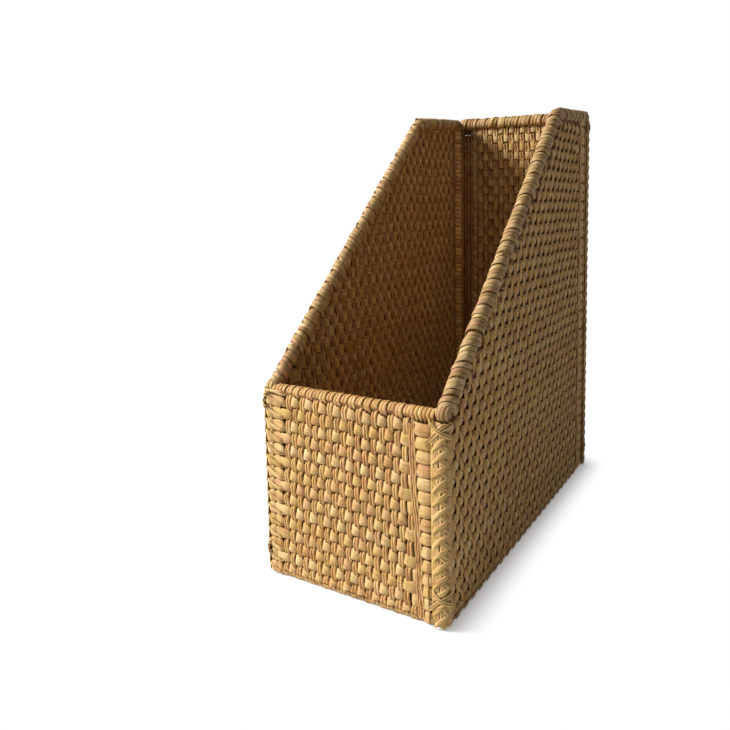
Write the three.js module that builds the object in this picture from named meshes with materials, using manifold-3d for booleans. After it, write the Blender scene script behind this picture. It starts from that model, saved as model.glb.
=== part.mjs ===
// Magazine basket: an open-topped box of woven rattan, low in front and high at the back.
// Millimetres, +Z up, front towards -Y, origin at the middle of the footprint on the floor.
// Round poles make the edges, woven walls fill them in, and strips of peel are wound,
// laced and tied round the poles. The wound side rims are the finest work on it.

import * as THREE from 'three';
import { mergeVertices } from 'three/addons/utils/BufferGeometryUtils.js';
import Module from 'manifold-3d';

const wasm = await Module();
wasm.setup();

// Overall sizes
const overall_width = 126;
const overall_depth = 252;
const overall_height = 300;
const front_height = 119;
const top_length = 72;
const top_rise = 5.5;

// Poles
const frame_pole_radius = 3.5;
const side_rim_pole_radius = 3.7;
const front_rim_pole_radius = 3;
const frame_bend_radius = 6.5;
const rim_bend_radius = 18;
const pole_end_rounding = 1.2;

// Peel round the poles
const peel_thickness = 0.9;
const peel_edge_bevel = 1.1;
const turn_gap = 0.6;
const lacing_relief = 0.5;
const lacing_lift = 2.4;
const base_binding_relief = 0.3;
const tie_band_width = 2.6;
const tie_height = 11;

// Walls
const wall_thickness = 5;
const wall_outset = 1.5;
const weft_pitch = 7.39;
const first_weft_middle = 6.3;
const weft_relief = 1.4;
const warp_pitch = 5;

// Fits
const fit_gap = 0.3;
const floor_flat_depth = 0.5;
const cutter_overrun = 8;
const bend_chord_sag = 0.1;

// Counts and shares
const round_sides = 8;
const corner_angle = Math.PI / 4;
const slope_turns = 24;
const front_rim_turns = 20;
const back_rim_turns = 10;
const top_turns = 14;
const warps_per_base_rib = 3;
const wefts_per_lacing_rib = 2;
const weft_outline_shares = [[-0.5, 0], [-0.28, 1], [0.28, 1]];
const pole_tip_shares = [[1, 0.5], [0.55, 0.86], [0, 1]];

// Sizes that follow
const frame_roll_radius = frame_pole_radius + fit_gap + peel_thickness;
const side_roll_radius = side_rim_pole_radius + fit_gap + peel_thickness;
const front_roll_radius = front_rim_pole_radius + fit_gap + peel_thickness;
const side_x = overall_width / 2 - side_roll_radius;
const front_y = -(overall_depth / 2 - frame_roll_radius);
const back_y = overall_depth / 2 - side_roll_radius;
const bend_y = overall_depth / 2 - top_length;
const base_z = frame_roll_radius - floor_flat_depth;
const front_rim_z = front_height - front_roll_radius;
const top_z = overall_height - side_roll_radius;
const bend_z = top_z - top_rise;
const slope_angle = Math.atan2(bend_z - front_rim_z, bend_y - front_y);
const top_angle = Math.atan2(top_rise, top_length);
const rim_tip_reach = pole_end_rounding * Math.cos(top_angle)
  + side_rim_pole_radius * pole_tip_shares[0][1] * Math.sin(top_angle);
const rim_end_y = overall_depth / 2 - rim_tip_reach;
const front_post_top = front_rim_z - side_roll_radius * Math.cos(slope_angle) - fit_gap;
const back_post_top = rimTopZ(back_y - frame_roll_radius) - side_roll_radius / Math.cos(top_angle) - fit_gap;
const rim_inner_x = side_x - side_roll_radius - fit_gap;
const base_rib_pitch = warp_pitch * warps_per_base_rib;
const lacing_rib_pitch = weft_pitch * wefts_per_lacing_rib;

// The height of a side rim's axis behind its bend.
function rimTopZ(y) {
  return bend_z + (y - bend_y) * Math.tan(top_angle);
}

const right = new THREE.Vector3(1, 0, 0);
const back = new THREE.Vector3(0, 1, 0);
const up = new THREE.Vector3(0, 0, 1);
const front = back.clone().negate();

// A pole's centre line: straight runs with round bends at the inner corners.
// side is a unit vector square to the plane that the pole is bent in.
class Pole {
  constructor(corners, bendRadius, side) {
    this.side = side;
    this.runs = [];
    this.length = 0;
    let start = corners[0];
    for (let i = 1; i < corners.length; i++) {
      const along = corners[i].clone().sub(corners[i - 1]).normalize();
      if (i === corners.length - 1) {
        this.addRun({ start, along, length: start.distanceTo(corners[i]) });
        break;
      }
      const next = corners[i + 1].clone().sub(corners[i]).normalize();
      const turn = along.angleTo(next);
      const cut = bendRadius * Math.tan(turn / 2);
      const bendStart = corners[i].clone().addScaledVector(along, -cut);
      const inward = next.clone().addScaledVector(along, -Math.cos(turn)).normalize();
      this.addRun({ start, along, length: start.distanceTo(bendStart) });
      this.addRun({ start: bendStart, along, inward, radius: bendRadius, length: bendRadius * turn });
      start = corners[i].clone().addScaledVector(next, cut);
    }
  }

  addRun(run) {
    this.runs.push({ ...run, from: this.length });
    this.length += run.length;
  }

  // The centre and direction at a length s along the pole; its ends carry on straight.
  at(s) {
    const run = this.runs.find((r) => s <= r.from + r.length) ?? this.runs.at(-1);
    const gone = s - run.from;
    const centre = run.start.clone();
    if (!run.inward) return { centre: centre.addScaledVector(run.along, gone), along: run.along };
    const angle = gone / run.radius;
    centre.addScaledVector(run.inward, run.radius * (1 - Math.cos(angle)));
    centre.addScaledVector(run.along, run.radius * Math.sin(angle));
    const along = run.along.clone().multiplyScalar(Math.cos(angle));
    return { centre, along: along.addScaledVector(run.inward, Math.sin(angle)) };
  }

  // A point beside the pole: angle 0 faces side, and a quarter turn on faces out of the bends.
  point(s, angle, radius) {
    const { centre, along } = this.at(s);
    centre.addScaledVector(this.side, radius * Math.cos(angle));
    return centre.addScaledVector(along.clone().cross(this.side), radius * Math.sin(angle));
  }

  ring(s, radius) {
    return circleAngles(round_sides).map((angle) => this.point(s, angle, radius));
  }

  // The lengths between s0 and s1 where a section is needed: both ends and steps round bends.
  stations(s0, s1) {
    const marks = [s0, s1];
    for (const run of this.runs.filter((r) => r.inward)) {
      const stepAngle = 2 * Math.acos(1 - bend_chord_sag / run.radius);
      const steps = Math.ceil(run.length / run.radius / stepAngle);
      for (let i = 0; i <= steps; i++) marks.push(run.from + (run.length * i) / steps);
    }
    return marks.filter((s) => s >= s0 && s <= s1).sort((a, b) => a - b);
  }

  // The lengths where a ribbed sleeve needs a ring: a high and a low one for each rib on the
  // straight runs, and low ones round the bends.
  ribMarks(s0, s1, pitch) {
    const marks = this.stations(s0, s1).map((s) => ({ s, proud: 0 }));
    for (const run of this.runs.filter((r) => !r.inward)) {
      const start = Math.max(s0, run.from);
      const length = Math.min(s1, run.from + run.length) - start;
      const ribs = Math.max(0, Math.round(length / pitch));
      for (let k = 1; k < 2 * ribs; k++) {
        marks.push({ s: start + (length * k) / (2 * ribs), proud: k % 2 });
      }
    }
    return marks.sort((a, b) => a.s - b.s);
  }
}

function circleAngles(count) {
  return Array.from({ length: count }, (_, i) => (2 * Math.PI * i) / count);
}

// Closed skins from rings of points

function geometryOf(points, triangles) {
  const geometry = new THREE.BufferGeometry().setFromPoints(points);
  geometry.setIndex(triangles.flat());
  return geometry;
}

// The faces between two rings, whose first points are numbered a and b.
function bandFaces(a, b, count) {
  const faces = [];
  for (let i = 0; i < count; i++) {
    const j = (i + 1) % count;
    faces.push([a + i, a + j, b + j], [a + i, b + j, b + i]);
  }
  return faces;
}

// A solid through rings, closed by a flat face at each end.
function solidThrough(rings) {
  const count = rings[0].length;
  const last = (rings.length - 1) * count;
  const faces = [];
  for (let k = 1; k < rings.length; k++) {
    faces.push(...bandFaces((k - 1) * count, k * count, count));
  }
  for (let i = 1; i < count - 1; i++) {
    faces.push([0, i + 1, i]);
    faces.push([last, last + i, last + i + 1]);
  }
  return geometryOf(rings.flat(), faces);
}

// A pipe with an outer and an inner skin, open right through.
function pipeThrough(outer, inner) {
  const count = outer[0].length;
  const innerStart = outer.length * count;
  const outerLast = innerStart - count;
  const innerLast = innerStart + (inner.length - 1) * count;
  const faces = [];
  for (let k = 1; k < outer.length; k++) {
    faces.push(...bandFaces((k - 1) * count, k * count, count));
  }
  for (let k = 1; k < inner.length; k++) {
    faces.push(...bandFaces(innerStart + k * count, innerStart + (k - 1) * count, count));
  }
  faces.push(...bandFaces(innerStart, 0, count));
  faces.push(...bandFaces(outerLast, innerLast, count));
  return geometryOf([...outer.flat(), ...inner.flat()], faces);
}

// Joining and cutting

function toSolid(geometry) {
  const bare = geometry.clone();
  bare.deleteAttribute('normal');
  bare.deleteAttribute('uv');
  const merged = mergeVertices(bare);
  return new wasm.Manifold(new wasm.Mesh({
    numProp: 3,
    vertProperties: merged.attributes.position.array,
    triVerts: new Uint32Array(merged.index.array),
  }));
}

function toGeometry(solid) {
  const mesh = solid.getMesh();
  const geometry = new THREE.BufferGeometry();
  const places = new Float32Array(mesh.vertProperties);
  geometry.setAttribute('position', new THREE.BufferAttribute(places, mesh.numProp));
  geometry.setIndex(new THREE.BufferAttribute(new Uint32Array(mesh.triVerts), 1));
  return geometry;
}

// The same piece on the other side of the basket.
function mirrored(geometry) {
  const flipped = geometry.clone().applyMatrix4(new THREE.Matrix4().makeScale(-1, 1, 1));
  const index = Array.from(flipped.index.array);
  for (let i = 0; i < index.length; i += 3) [index[i + 1], index[i + 2]] = [index[i + 2], index[i + 1]];
  flipped.setIndex(index);
  return flipped;
}

// The poles' centre lines

function framePole(y, side, postTop) {
  const startX = side_x * side.y;
  return new Pole([
    new THREE.Vector3(startX, y, postTop),
    new THREE.Vector3(startX, y, base_z),
    new THREE.Vector3(-startX, y, base_z),
    new THREE.Vector3(-startX, y, postTop),
  ], frame_bend_radius, side);
}

const front_frame = framePole(front_y, front, front_post_top);
const back_frame = framePole(back_y, back, back_post_top);

const side_base = new Pole([
  new THREE.Vector3(side_x, front_y + frame_roll_radius + fit_gap, base_z),
  new THREE.Vector3(side_x, back_y - frame_roll_radius - fit_gap, base_z),
], frame_bend_radius, right);

const side_rim = new Pole([
  new THREE.Vector3(side_x, front_y, front_rim_z),
  new THREE.Vector3(side_x, bend_y, bend_z),
  new THREE.Vector3(side_x, rim_end_y, rimTopZ(rim_end_y)),
], rim_bend_radius, right);

const front_rim = new Pole([
  new THREE.Vector3(-rim_inner_x, front_y, front_rim_z),
  new THREE.Vector3(rim_inner_x, front_y, front_rim_z),
], rim_bend_radius, front);

const back_rim = new Pole([
  new THREE.Vector3(rim_inner_x, back_y, top_z),
  new THREE.Vector3(-rim_inner_x, back_y, top_z),
], rim_bend_radius, back);

// Lengths along the frame poles, from the top of the first post
function frameLengths(frame) {
  const bend_start = frame.runs[0].length;
  const bend_end = frame.length - bend_start;
  return { bend_start, bend_end };
}

// A bare pole, with tips of the given rounding.
function poleSolid(pole, radius, rounding) {
  const tip = rounding === 0 ? [[0, 1]] : pole_tip_shares;
  const between = pole.stations(0, pole.length).slice(1, -1);
  return solidThrough([
    ...tip.map(([out, share]) => pole.ring(-out * rounding, radius * share)),
    ...between.map((s) => pole.ring(s, radius)),
    ...tip.toReversed().map(([out, share]) => pole.ring(pole.length + out * rounding, radius * share)),
  ]);
}

// A strip of peel wound round a pole between lengths s0 and s1, in one piece.
// It starts and ends on the side that faces the wall.
function winding(name, pole, s0, s1, turns, poleRadius) {
  const pitch = (s1 - s0 + turn_gap) / (turns + 1);
  const width = pitch - turn_gap;
  const inner = poleRadius + fit_gap;
  const section = [
    [-width / 2, inner],
    [width / 2, inner],
    [width / 2 - peel_edge_bevel, inner + peel_thickness],
    [-width / 2 + peel_edge_bevel, inner + peel_thickness],
  ];
  const rings = [];
  for (let k = 0; k <= turns * round_sides; k++) {
    const angle = Math.PI / 2 + (2 * Math.PI * k) / round_sides;
    const middle = s0 + width / 2 + (pitch * k) / round_sides;
    rings.push(section.map(([offset, radius]) => pole.point(middle + offset, angle, radius)));
  }
  printLeastGap(name, rings);
  return solidThrough(rings);
}

function wholeWinding(name, pole, turns, poleRadius) {
  return winding(name, pole, 0, pole.length, turns, poleRadius);
}

// The least distance between points of one turn and the points of the next.
function printLeastGap(name, rings) {
  let least = Infinity;
  for (let k = 0; k < rings.length; k++) {
    const near = rings.slice(k + round_sides - 1, k + round_sides + 2).flat();
    for (const a of rings[k]) {
      for (const b of near) least = Math.min(least, a.distanceTo(b));
    }
  }
  console.log(`${name} winding: least gap between turns ${least.toFixed(2)} mm`);
}

// Lacing or binding round a pole: one rib for each turn of peel, each lifted on its outer corner.
function ribbedSleeve(pole, s0, s1, ribPitch, relief, lift) {
  const inner = frame_pole_radius + fit_gap;
  const outer = pole.ribMarks(s0, s1, ribPitch).map(({ s, proud }) => {
    const radius = inner + peel_thickness - relief * (1 - proud);
    const rise = s === s0 || s === s1 ? 0 : lift;
    return circleAngles(round_sides).map((angle) => (
      pole.point(s + rise * Math.cos(angle - corner_angle), angle, radius)
    ));
  });
  const bore = pole.stations(s0, s1).map((s) => pole.ring(s, inner));
  return pipeThrough(outer, bore);
}

// A crossed tie: two bands round a post, tilted against each other.
function crossedTie(pole, middle) {
  const tilt = (tie_height - tie_band_width) / 2;
  const inner = frame_pole_radius + fit_gap;
  const band = (sense) => {
    const rings = circleAngles(round_sides).map((angle) => {
      const s = middle + sense * tilt * Math.sin(angle - corner_angle);
      return [
        pole.point(s - tie_band_width / 2, angle, inner),
        pole.point(s + tie_band_width / 2, angle, inner),
        pole.point(s + tie_band_width / 2, angle, inner + peel_thickness),
        pole.point(s - tie_band_width / 2, angle, inner + peel_thickness),
      ];
    });
    const corners = rings[0].length;
    const faces = rings.flatMap((_, k) => (
      bandFaces(k * corners, ((k + 1) % rings.length) * corners, corners)
    ));
    return toSolid(geometryOf(rings.flat(), faces));
  };
  return toGeometry(band(1).add(band(-1)));
}

// The block below the floor, for cutting the resting faces flat.
function belowFloor() {
  const width = overall_width + 2 * cutter_overrun;
  const depth = overall_depth + 2 * cutter_overrun;
  const block = new THREE.BoxGeometry(width, depth, cutter_overrun);
  return toSolid(block.translate(0, 0, -cutter_overrun / 2));
}

function cutFlatBelow(geometry) {
  return toGeometry(toSolid(geometry).subtract(belowFloor()));
}

// Woven walls

// A slab with a rounded rib on both faces for each row of weft. Its thickness lies along
// out, its rows are stacked along rise from firstMiddle up, and it runs both ways from the middle.
function ribbedSlab(out, rise, middle, firstMiddle, height, length) {
  const rows = Math.ceil((height - firstMiddle) / weft_pitch) + 1;
  const face = (sign) => {
    const points = [];
    for (let row = 0; row < rows; row++) {
      for (const [along, proud] of weft_outline_shares) {
        const half = wall_thickness / 2 - weft_relief * (1 - proud);
        points.push([sign * half, firstMiddle + (row + along) * weft_pitch]);
      }
    }
    return points;
  };
  const outline = [...face(1), ...face(-1).toReversed()].map(([x, y]) => new THREE.Vector2(x, y));
  const slab = new THREE.ExtrudeGeometry(new THREE.Shape(outline), { depth: length, bevelEnabled: false });
  const along = out.clone().cross(rise);
  const place = new THREE.Matrix4().makeBasis(out, rise, along);
  place.setPosition(middle.clone().addScaledVector(along, -length / 2));
  return toSolid(slab.applyMatrix4(place));
}

// A block with the outline of the poles' centre lines, through the thickness of a wall.
function outlineBlock(points, out) {
  const thickness = 2 * (wall_thickness + wall_outset);
  const across = up.clone().cross(out);
  const flat = points.map((p) => new THREE.Vector2(p.dot(across), p.z));
  const block = new THREE.ExtrudeGeometry(new THREE.Shape(flat), { depth: thickness, bevelEnabled: false });
  const place = new THREE.Matrix4().makeBasis(across, up, out);
  place.setPosition(out.clone().multiplyScalar(points[0].dot(out) - thickness / 2));
  return toSolid(block.applyMatrix4(place));
}

// The space that a wrapped pole takes, with the fit gap, as a cutter with overrun at both ends.
function seatCutter(pole, rollRadius) {
  const radius = rollRadius + fit_gap;
  const rings = pole.stations(0, pole.length).map((s) => pole.ring(s, radius));
  rings[0] = pole.ring(-cutter_overrun, radius);
  rings[rings.length - 1] = pole.ring(pole.length + cutter_overrun, radius);
  return toSolid(solidThrough(rings));
}

function centrePoints(pole, s0, s1) {
  return pole.stations(s0, s1).map((s) => pole.at(s).centre);
}

// A front or back wall, inside its frame pole and under its rim.
function endWall(frame, rim, rimRollRadius, out) {
  const y = frame.at(0).centre.y;
  const rimZ = rim.at(0).centre.z;
  const middle = new THREE.Vector3(0, y, 0).addScaledVector(out, wall_outset);
  let wall = ribbedSlab(out, up, middle, first_weft_middle, rimZ, 2 * side_x);
  const inside = centrePoints(frame, 0, frame.length).slice(1, -1);
  const firstX = frame.at(0).centre.x;
  inside.unshift(new THREE.Vector3(firstX, y, rimZ));
  inside.push(new THREE.Vector3(-firstX, y, rimZ));
  wall = wall.intersect(outlineBlock(inside, out));
  wall = wall.subtract(seatCutter(frame, frame_roll_radius));
  return toGeometry(wall.subtract(seatCutter(rim, rimRollRadius)));
}

function uprightCutter(y, rollRadius, height) {
  const foot = new THREE.Vector3(side_x, y, 0);
  const head = new THREE.Vector3(side_x, y, height);
  return seatCutter(new Pole([foot, head], frame_bend_radius, right), rollRadius);
}

// The right wall, between the front and back posts, the base pole and the sloping rim.
function sideWall() {
  const middle = new THREE.Vector3(side_x + wall_outset, (front_y + back_y) / 2, 0);
  let wall = ribbedSlab(right, up, middle, first_weft_middle, top_z, back_y - front_y);
  const rimPoints = centrePoints(side_rim, 0, side_rim.length).slice(0, -1);
  const inside = [
    new THREE.Vector3(side_x, front_y, base_z),
    ...rimPoints,
    new THREE.Vector3(side_x, back_y, top_z),
    new THREE.Vector3(side_x, back_y, base_z),
  ];
  wall = wall.intersect(outlineBlock(inside.toReversed(), right));
  wall = wall.subtract(uprightCutter(front_y, frame_roll_radius, front_rim_z));
  wall = wall.subtract(uprightCutter(back_y, frame_roll_radius, top_z));
  wall = wall.subtract(seatCutter(side_base, frame_roll_radius));
  return toGeometry(wall.subtract(seatCutter(side_rim, side_roll_radius)));
}

// The woven base, level with the base poles and clear of the floor.
function basePanel() {
  const depth = back_y - front_y;
  const middle = new THREE.Vector3(-side_x, (front_y + back_y) / 2, base_z);
  let panel = ribbedSlab(up, right, middle, weft_pitch / 2, 2 * side_x, depth);
  const footprint = new THREE.BoxGeometry(2 * side_x, depth, 2 * wall_thickness);
  footprint.translate(0, (front_y + back_y) / 2, base_z);
  panel = panel.intersect(toSolid(footprint));
  panel = panel.subtract(seatCutter(front_frame, frame_roll_radius));
  panel = panel.subtract(seatCutter(back_frame, frame_roll_radius));
  const sideCut = seatCutter(side_base, frame_roll_radius);
  const otherCut = toSolid(mirrored(toGeometry(sideCut)));
  return toGeometry(panel.subtract(sideCut).subtract(otherCut));
}

// Colours and finishes

function material(color, roughness) {
  return new THREE.MeshStandardMaterial({ color, roughness, metalness: 0 });
}

const finishes = {
  woven: () => material(0xc9995a, 0.6),
  pole: () => material(0xb98a4c, 0.55),
  peel: () => material(0xd9a865, 0.45),
};

// The basket

const basket = new THREE.Group();

function add(name, finish, geometry) {
  const mesh = new THREE.Mesh(geometry, finishes[finish]());
  mesh.name = name;
  basket.add(mesh);
}

function addBothSides(name, finish, geometry) {
  add(`right_${name}`, finish, geometry);
  add(`left_${name}`, finish, mirrored(geometry));
}

function addWalls() {
  add('front_wall', 'woven', endWall(front_frame, front_rim, front_roll_radius, front));
  add('back_wall', 'woven', endWall(back_frame, back_rim, side_roll_radius, back));
  addBothSides('side_wall', 'woven', sideWall());
  add('base_panel', 'woven', basePanel());
}

function addPoles() {
  add('front_frame_pole', 'pole', poleSolid(front_frame, frame_pole_radius, 0));
  add('back_frame_pole', 'pole', poleSolid(back_frame, frame_pole_radius, 0));
  addBothSides('base_pole', 'pole', poleSolid(side_base, frame_pole_radius, 0));
  addBothSides('rim_pole', 'pole', poleSolid(side_rim, side_rim_pole_radius, pole_end_rounding));
  add('front_rim_pole', 'pole', poleSolid(front_rim, front_rim_pole_radius, 0));
  add('back_rim_pole', 'pole', poleSolid(back_rim, side_rim_pole_radius, 0));
}

function addRimWindings() {
  const bend_start = side_rim.runs[0].length;
  const slope = winding('slope', side_rim, fit_gap, bend_start, slope_turns, side_rim_pole_radius);
  addBothSides('slope_winding', 'peel', slope);
  const top_start = bend_start + turn_gap;
  const top = winding('top', side_rim, top_start, side_rim.length, top_turns, side_rim_pole_radius);
  addBothSides('top_winding', 'peel', top);
  const frontWinding = wholeWinding('front rim', front_rim, front_rim_turns, front_rim_pole_radius);
  add('front_rim_winding', 'peel', frontWinding);
  const backWinding = wholeWinding('back rim', back_rim, back_rim_turns, side_rim_pole_radius);
  add('back_rim_winding', 'peel', backWinding);
}

// Lacing up the posts, a crossed tie at each end of it, and the binding along the base
function addFrameWrapping(place, frame) {
  const { bend_start, bend_end } = frameLengths(frame);
  const lacing_start = tie_height + fit_gap;
  const lacing_end = bend_start - tie_height - fit_gap;
  const posts = [['first', (s) => s], ['second', (s) => frame.length - s]];
  for (const [post, along] of posts) {
    const side = (frame.at(along(0)).centre.x > 0) ? 'right' : 'left';
    const [s0, s1] = [along(lacing_start), along(lacing_end)].sort((a, b) => a - b);
    const lift = post === 'first' ? -lacing_lift : lacing_lift;
    const lacing = ribbedSleeve(frame, s0, s1, lacing_rib_pitch, lacing_relief, lift);
    add(`${place}_${side}_corner_lacing`, 'peel', lacing);
    add(`${place}_${side}_top_tie`, 'peel', crossedTie(frame, along(tie_height / 2)));
    add(`${place}_${side}_bottom_tie`, 'peel', crossedTie(frame, along(bend_start - tie_height / 2)));
  }
  add(`${place}_base_binding`, 'peel', baseBinding(frame, bend_start + fit_gap, bend_end - fit_gap));
}

// The binding round a base pole, cut flat where the basket stands on it.
function baseBinding(pole, s0, s1) {
  return cutFlatBelow(ribbedSleeve(pole, s0, s1, base_rib_pitch, base_binding_relief, 0));
}

addWalls();
addPoles();
addRimWindings();
addFrameWrapping('front', front_frame);
addFrameWrapping('back', back_frame);
addBothSides('base_binding', 'peel', baseBinding(side_base, 0, side_base.length));

export default basket;
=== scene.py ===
import math

import bpy
import numpy as np
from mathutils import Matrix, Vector


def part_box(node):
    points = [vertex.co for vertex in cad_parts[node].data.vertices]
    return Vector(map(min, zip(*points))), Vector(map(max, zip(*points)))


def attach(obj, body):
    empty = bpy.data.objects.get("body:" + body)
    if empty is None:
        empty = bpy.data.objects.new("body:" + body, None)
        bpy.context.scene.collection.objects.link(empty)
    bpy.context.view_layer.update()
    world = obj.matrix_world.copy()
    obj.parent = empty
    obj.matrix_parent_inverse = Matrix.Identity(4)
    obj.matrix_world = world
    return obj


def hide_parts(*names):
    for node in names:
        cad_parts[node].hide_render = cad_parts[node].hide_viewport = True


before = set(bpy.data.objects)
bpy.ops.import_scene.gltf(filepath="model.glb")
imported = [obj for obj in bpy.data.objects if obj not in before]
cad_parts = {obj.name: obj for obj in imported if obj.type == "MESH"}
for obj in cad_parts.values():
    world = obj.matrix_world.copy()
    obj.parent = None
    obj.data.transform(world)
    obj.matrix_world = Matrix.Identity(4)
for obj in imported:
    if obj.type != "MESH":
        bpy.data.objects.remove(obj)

# The basket's looks: every strand of the weave, the folds over its front rim and base, the wound
# rims and the laced corners. Lengths are in millimetres until a mesh is made. On a wall, u runs to
# the right as seen from outside, z runs up, and n runs out from the poles' axes. A weft is one level
# row of the weave, and a warp is a pair of strands that run up it.

MM = 0.001
UP = np.array([0, 0, 1.0])
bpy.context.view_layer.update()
rng = np.random.default_rng(11)

# Camera and stage; a lamp has its place, its size and its power
camera_place = (213.6, -405.1, 224.7)
camera_turn = (84.168, 0.296, 27.369)
camera_focal_px = 643.2
camera_centre_px = (456.9, 269.3)
camera_clip = (0.01, 50)
picture_px = 730
sensor_width = 36
floor_size = 6000
floor_fade = (0.0, 0.03)
floor_grey = 0.8
floor_glow = 0.42
# Painted contact shadow on the floor: how far it reaches and how dark it gets
contact_reach = 45
contact_shade = 0.35
world_light = 0.085
world_tint = (1, 0.96, 0.88, 1)
lamp_aim = (0, 0, 130)
lamps = {
    "key": ((-1050, -640, 900), 420, 35),
    "fill": ((700, -900, 500), 900, 0.05),
    "top": ((420, -250, 1500), 500, 1.6),
}

# Sections, as shares of half a strand's width and half its thickness
peel_section = [
    (-1, 0), (-0.8, 0.62), (-0.42, 0.92), (0, 1), (0.42, 0.92),
    (0.8, 0.62), (1, 0), (0.8, -0.6), (-0.8, -0.6),
]
strand_section = [(-1, 0), (-0.62, 0.8), (0, 1), (0.62, 0.8), (1, 0), (0, -0.85)]
end_scale_shares = [0.35, 0.8]
# The least painted shade on every strand's inner face
inner_face_shade = 0.45
floor_clearance = 0.05
skin_gap = 0.05

# Rows of weft
first_weft_z = 4.6
weft_pitch = 7.5
front_rows = 15
weft_width = 7.5
weft_thickness = 2.0
weft_rise = 1.1
# How much painted shade darkens a row's two edges
weft_edge_shade = 0.5
weft_step = 0.9
weft_shades = (0.25, 0.75)
width_marks = [-1, -0.3, 0.35, 1]
cell_lift = 0.1
front_row_fall = 0.024
side_row_fall = 1.2
side_fall_reach = 40
full_fall_z = 30
least_fall = 0.3
rim_clearance = 4

# Small holes: a row narrows beside the left edge of a warp
notch_lead = 3.0
notch_half_width = 1.35
under_notch_depth = 4.9
over_notch_depth = 2.6
notch_shift = 0.46

# Ends of the rows: round a corner post, under a sloping rim, and in a big cell beside the lacing
corner_weft_width = 7.2
corner_weft_thickness = 1.0
# Painted shade on a row where it runs round a corner post
corner_weft_shade = 0.25
post_lead = 4.5
start_zone = 9.7
first_cell = (3.0, 4.3, -0.1)
tuck_n = 0.9
rim_tuck = 2.5
slope_overlap = 4.2
least_start = 0.5
end_zone = 16.3
big_cell_width = 7.3
big_cell_end = 4.6
big_cell_ease = 3
dive_width = 5.0
row_tail = 2.2
bundle_marks = [(0.0, -0.3), (3.2, weft_rise), (5.6, weft_rise + 0.3)]
dive_marks = [(-3.0, weft_rise), (0.0, -0.2)]
bundle_room = [4.5, 7.5]
rise_in_room = [-0.4, 0.8]
# Packing: strips behind the gaps between rows, darkened fully as painted shade
packing_n = -0.3
packing_thickness = 0.5

# Warps, and the bundle of three strands beside each wall's last cells
warp_pitch = 4.97
warp_thickness = 1.6
warp_rise = 1.4
# How much painted shade darkens a warp strand's two edges
warp_edge_shade = 0.25
warp_step = 1.45
warp_lag = 0.5
warp_wander = 0.35
warp_overlap = 0.1
warp_level = 20
warp_spread_width = 2.46
under_marks = [(-1.0, -1.0), (1.2, -0.95)]
bundle_margin = 3.5
bundle_level = 90
bundle_width = 1.45
bundle_thickness = 1.1
wander_lengths = [(60, 195), (32, -107)]
weft_wander = 0.4

# Folds and linings
fold_thickness = 0.65
fold_gap = 0.15
base_fold_turn = (-250, -8)
rim_fold_turn = (4, 180)
rim_fold_drop = np.array([3, 6, 8])
rim_fold_in = np.array([0.1, 0.6, 2])
lining_starts = (1.6, 4.6, 7.6)
lining_ends = (1.6, 4.6, 7.6, 10.6, 13.6)
lining_n = -1.7


class Weave:
    """How the back wall is woven. A row's widths go from its deepest places to its highest. Crest
    and trough say how it lies over and under a warp, from the warp's middle, and over_marks how
    far out a warp lies over a row, as shares of warp_rise."""
    weft_widths = [9.4, 9.4, 9.0, 7.6]
    crest = [(-1.6, 0.0), (1.1, -0.1)]
    trough = [(-1.0, 0.0), (1.0, 0.0)]
    over_marks = [(-3.7, 0.75), (-1.0, 0.9), (0.7, 0.75), (2.1, -1.0)]
    first_warp = 13.7
    warp_pitch = 5.0
    strand_width = 2.42
    warp_slant = 0.6
    warp_lean = 0.0
    bundle_lean = 0.0
    cell_tilt = 0.0
    notch_share = 0.0
    packing_width = 0.0
    shift = 0


class LeftWeave(Weave):
    over_marks = [(-3.7, 0.75), (-0.4, 0.9), (2.1, -1.0)]
    first_warp = 4.0


class RightWeave(Weave):
    """Lower rows, with narrow dark gaps beside the warps, and packing behind the gaps that is coloured as
    painted shade.
    """
    weft_widths = [6.6, 6.2, 6.2, 6.2]
    crest = [(-1.5, -0.35), (0.7, -0.45)]
    trough = [(-3.1, -0.1), (1.0, 0.0)]
    over_marks = [(-4.4, 0.7), (-1.0, 1.0), (1.6, 0.8), (3.1, -0.7)]
    first_warp = 4.0
    strand_width = 1.98
    cell_tilt = 0.55
    notch_share = 0.45
    packing_width = 2.6
    shift = 1


class FrontWeave(Weave):
    """Wide bright cells, with warps that lean a little to the right."""
    weft_widths = [6.9, 8.4, 8.3, 7.2]
    crest = [(-1.7, 0.0), (0.2, -0.35)]
    trough = [(-2.3, 0.1), (1.1, 0.0)]
    over_marks = [(-3.4, 0.6), (-0.6, 0.9), (2.2, 0.8), (3.9, 0.2), (5.5, -0.9)]
    first_warp = start_zone
    warp_pitch = 5.04
    strand_width = 2.0
    warp_slant = 0.4
    warp_lean = 0.055
    bundle_lean = -0.045
    notch_share = 1.0


def box_mm(node):
    low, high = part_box(node)
    return np.array(low) / MM, np.array(high) / MM


def add_object(name, data):
    ob = bpy.data.objects.new(name, data)
    bpy.context.scene.collection.objects.link(ob)
    return ob


def unit(v):
    return v / np.linalg.norm(v, axis=-1, keepdims=True)


def wave(s, size, length):
    """A slow random wave of s, between about -size and size."""
    waves = [(1.0, 1.0), (1.9, 0.5), (3.3, 0.3)]
    phases = rng.uniform(0, 2 * math.pi, len(waves))
    total = sum(a * np.sin(2 * math.pi * f * s / length + p) for (f, a), p in zip(waves, phases))
    return size * (total / 1.5)


def wander_phases():
    return rng.uniform(0, 2 * math.pi, len(wander_lengths))


def shared_wander(u, z, phases):
    """A slow wander over a wall, the same for neighbouring strands, between about -1 and 1."""
    waves = zip(wander_lengths, phases)
    return sum(np.sin(2 * math.pi * (u / a + z / b) + p) for (a, b), p in waves) / 1.6


def placed(marks, a, b):
    """Marks moved to start from a place a and a height b."""
    return [(a + da, b + db) for da, db in marks]


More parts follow.
